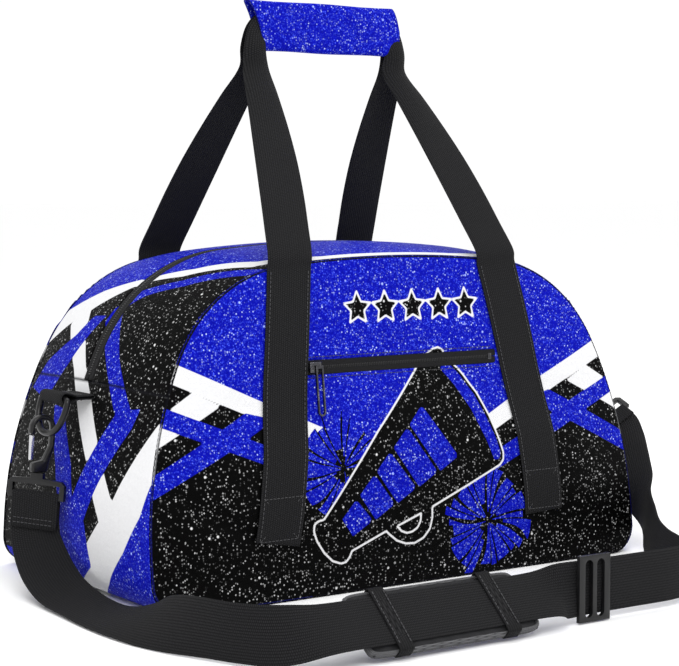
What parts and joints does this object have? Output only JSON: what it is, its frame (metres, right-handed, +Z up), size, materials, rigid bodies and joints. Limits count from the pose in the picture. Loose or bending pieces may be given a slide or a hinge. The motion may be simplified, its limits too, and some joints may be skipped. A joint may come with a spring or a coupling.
{
  "type": "duffel bag",
  "caption": "Dome-shaped zipped cheer duffel bag with webbing handles joined by a grip wrap, a zipped front pocket and a clip-on shoulder strap with pad.",
  "frame": {"origin": "middle of the bag's base on the floor", "axes": "+X along the bag, +Y from the front panel to the back panel, +Z up"},
  "size_m": [0.5566, 0.4324, 0.441],
  "materials": {
    "blue_glitter": "blue glitter-printed polyester",
    "black_glitter": "black glitter-printed polyester",
    "webbing": "ribbed black polypropylene webbing",
    "black_plastic": "moulded acetal",
    "gunmetal": "dark plated zinc",
    "steel": "spring steel",
    "lining": "plain woven lining",
    "board": "polyethylene board",
    "zip_coil": "nylon coil",
    "foam": "closed-cell foam with a fabric face"
  },
  "bodies": {
    "bag": {"front_panel": "blue_glitter", "back_panel": "blue_glitter", "pocket_lining": "lining", "pocket_wall_left": "lining", "pocket_wall_right": "lining", "pocket_zip_tape_lower": "webbing", "pocket_zip_tape_upper": "webbing", "pocket_zip_coil": "zip_coil", "pocket_zip_stop_left": "gunmetal", "pocket_zip_stop_right": "gunmetal", "gusset_lower": "black_glitter", "gusset_top_front": "blue_glitter", "gusset_top_back": "blue_glitter", "main_zip_tape_front": "webbing", "main_zip_tape_back": "webbing", "main_zip_coil": "zip_coil", "seam_binding_front": "lining", "seam_binding_back": "lining", "base_board": "board", "webbing_front_left": "webbing", "webbing_front_right": "webbing", "webbing_back_left": "webbing", "webbing_back_right": "webbing", "handle_leg_front_left": "webbing", "handle_leg_front_right": "webbing", "handle_leg_back_left": "webbing", "handle_leg_back_right": "webbing", "left_ring_tab": "webbing", "right_ring_tab": "webbing", "strap_run": "webbing", "strap_return": "webbing"},
    "grip": {"grip_wrap": "blue_glitter", "grip_webbing_front": "webbing", "grip_webbing_back": "webbing"},
    "grip_flap": {"grip_flap": "blue_glitter"},
    "main_slider": {"main_zip_slider": "gunmetal"},
    "main_pull": {"main_zip_pull": "gunmetal"},
    "pocket_slider": {"pocket_zip_slider": "gunmetal"},
    "pocket_pull": {"pocket_zip_pull": "gunmetal"},
    "left_ring": {"left_d_ring": "black_plastic"},
    "left_hanger": {"left_swivel_loop": "black_plastic", "strap_left_end": "webbing"},
    "left_hook": {"left_hook": "black_plastic"},
    "left_gate": {"left_hook_gate": "steel"},
    "right_ring": {"right_d_ring": "black_plastic"},
    "right_hanger": {"right_swivel_loop": "black_plastic", "strap_right_end": "webbing"},
    "right_hook": {"right_hook": "black_plastic"},
    "right_gate": {"right_hook_gate": "steel"},
    "tri_glide": {"tri_glide": "black_plastic"},
    "shoulder_pad": {"shoulder_pad": "foam", "pad_band_left": "webbing", "pad_band_right": "webbing"}
  },
  "joints": [
    {"name": "grip_drop", "type": "slide", "parent": "bag", "child": "grip", "axis": [0, 0, -1], "range_m": [0, 0.08], "stiffness_N_per_m": 12, "springref_m": -0.12, "deforming": ["handle_leg_front_left", "handle_leg_front_right", "handle_leg_back_left", "handle_leg_back_right"]},
    {"name": "grip_flap_open", "type": "hinge", "parent": "grip", "child": "grip_flap", "pos_m": [0, 0.0061, 0.439], "axis": [1, 0, 0], "range_deg": [0, 110]},
    {"name": "main_zip_travel", "type": "hinge", "parent": "bag", "child": "main_slider", "pos_m": [0.08832, 0, 0.1248], "axis": [0, -1, 0], "range_deg": [0, 54]},
    {"name": "main_pull_flip", "type": "hinge", "parent": "main_slider", "child": "main_pull", "pos_m": [0.20226, 0, 0.19059], "axis": [0, -1, 0], "range_deg": [0, 150]},
    {"name": "pocket_zip_travel", "type": "slide", "parent": "bag", "child": "pocket_slider", "axis": [1, 0, 0], "range_m": [0, 0.158]},
    {"name": "pocket_pull_flip", "type": "hinge", "parent": "pocket_slider", "child": "pocket_pull", "pos_m": [-0.07918, -0.10869, 0.16664], "axis": [-1, 0, 0], "range_deg": [0, 150]},
    {"name": "left_hanger_swing", "type": "hinge", "parent": "bag", "child": "left_hanger", "pos_m": [-0.23761, 0, 0.145], "axis": [0, 1, 0], "range_deg": [0, 60]},
    {"name": "left_ring_swing", "type": "hinge", "parent": "bag", "child": "left_ring", "pos_m": [-0.23761, 0, 0.145], "axis": [0, 1, 0], "range_deg": [0, 60]},
    {"name": "left_hook_swivel", "type": "hinge", "parent": "left_hanger", "child": "left_hook", "pos_m": [-0.24724, 0.01065, 0.08915], "axis": [0.0797, -0.0199, 0.9966], "range_deg": [-18, 12]},
    {"name": "left_gate_press", "type": "hinge", "parent": "left_hook", "child": "left_gate", "pos_m": [-0.25306, 0.01045, 0.09914], "axis": [0, 0.9998, 0.02], "range_deg": [0, 22], "stiffness_Nm_per_rad": 0.02, "springref_deg": -17.19},
    {"name": "right_hanger_swing", "type": "hinge", "parent": "bag", "child": "right_hanger", "pos_m": [0.23761, 0, 0.145], "axis": [0, -1, 0], "range_deg": [0, 45]},
    {"name": "right_ring_swing", "type": "hinge", "parent": "bag", "child": "right_ring", "pos_m": [0.23761, 0, 0.145], "axis": [0, -1, 0], "range_deg": [0, 45]},
    {"name": "right_hook_swivel", "type": "hinge", "parent": "right_hanger", "child": "right_hook", "pos_m": [0.25725, -0.03625, 0.10714], "axis": [-0.2196, 0.8383, 0.499], "range_deg": [-3, 5]},
    {"name": "right_gate_press", "type": "hinge", "parent": "right_hook", "child": "right_gate", "pos_m": [0.24912, -0.02829, 0.10922], "axis": [0.3376, 0.5452, -0.7673], "range_deg": [0, 22], "stiffness_Nm_per_rad": 0.02, "springref_deg": -17.19},
    {"name": "tri_glide_slide", "type": "slide", "parent": "bag", "child": "tri_glide", "axis": [1, 0, 0], "range_m": [0, 0.06]},
    {"name": "pad_slide", "type": "slide", "parent": "bag", "child": "shoulder_pad", "axis": [1, 0, 0], "range_m": [-0.02, 0.014]}
  ],
  "couplings": [
    {"joint": "left_ring_swing", "follows": "left_hanger_swing", "ratio": 1},
    {"joint": "right_ring_swing", "follows": "right_hanger_swing", "ratio": 1}
  ]
}
